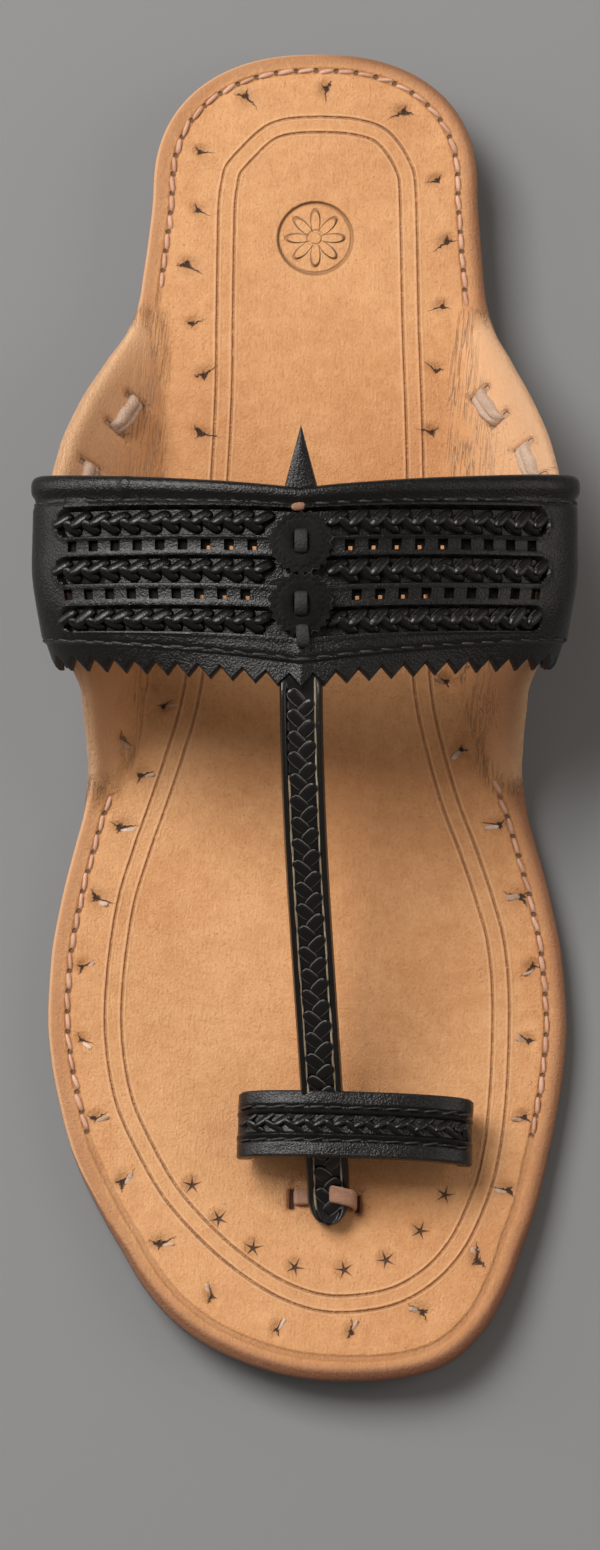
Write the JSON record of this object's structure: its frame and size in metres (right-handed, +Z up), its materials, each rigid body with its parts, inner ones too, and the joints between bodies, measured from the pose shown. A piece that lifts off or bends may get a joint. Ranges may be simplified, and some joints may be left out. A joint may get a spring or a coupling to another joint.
{
  "type": "toe-loop leather sandal",
  "caption": "Flat leather sandal: moulded footbed with raised ears, wide braided instep band, strap to a toe loop, low heel.",
  "frame": {"origin": "middle of the shoe's box on the ground plane", "axes": "+Y towards the heel, -Y towards the toe, +X towards the inner side of the foot, +Z up"},
  "size_m": [0.1111, 0.28, 0.0668],
  "materials": {
    "natural_leather": "smooth vegetable-tanned leather, soft satin",
    "sole_leather": "dressed brown sole edge, matte",
    "black_leather": "black finished leather, semi-gloss with grain",
    "lace_leather": "raw pale leather lace, matte"
  },
  "bodies": {
    "root": {"outsole": "sole_leather", "heel_lift": "sole_leather", "insole": "natural_leather", "upper": "black_leather", "rosette_rear": "black_leather", "rosette_front": "black_leather", "toe_lace": "lace_leather", "ear_lace_outer_low": "lace_leather", "ear_lace_outer_high": "lace_leather", "ear_lace_inner_low": "lace_leather", "ear_lace_inner_high": "lace_leather"}
  },
  "joints": []
}
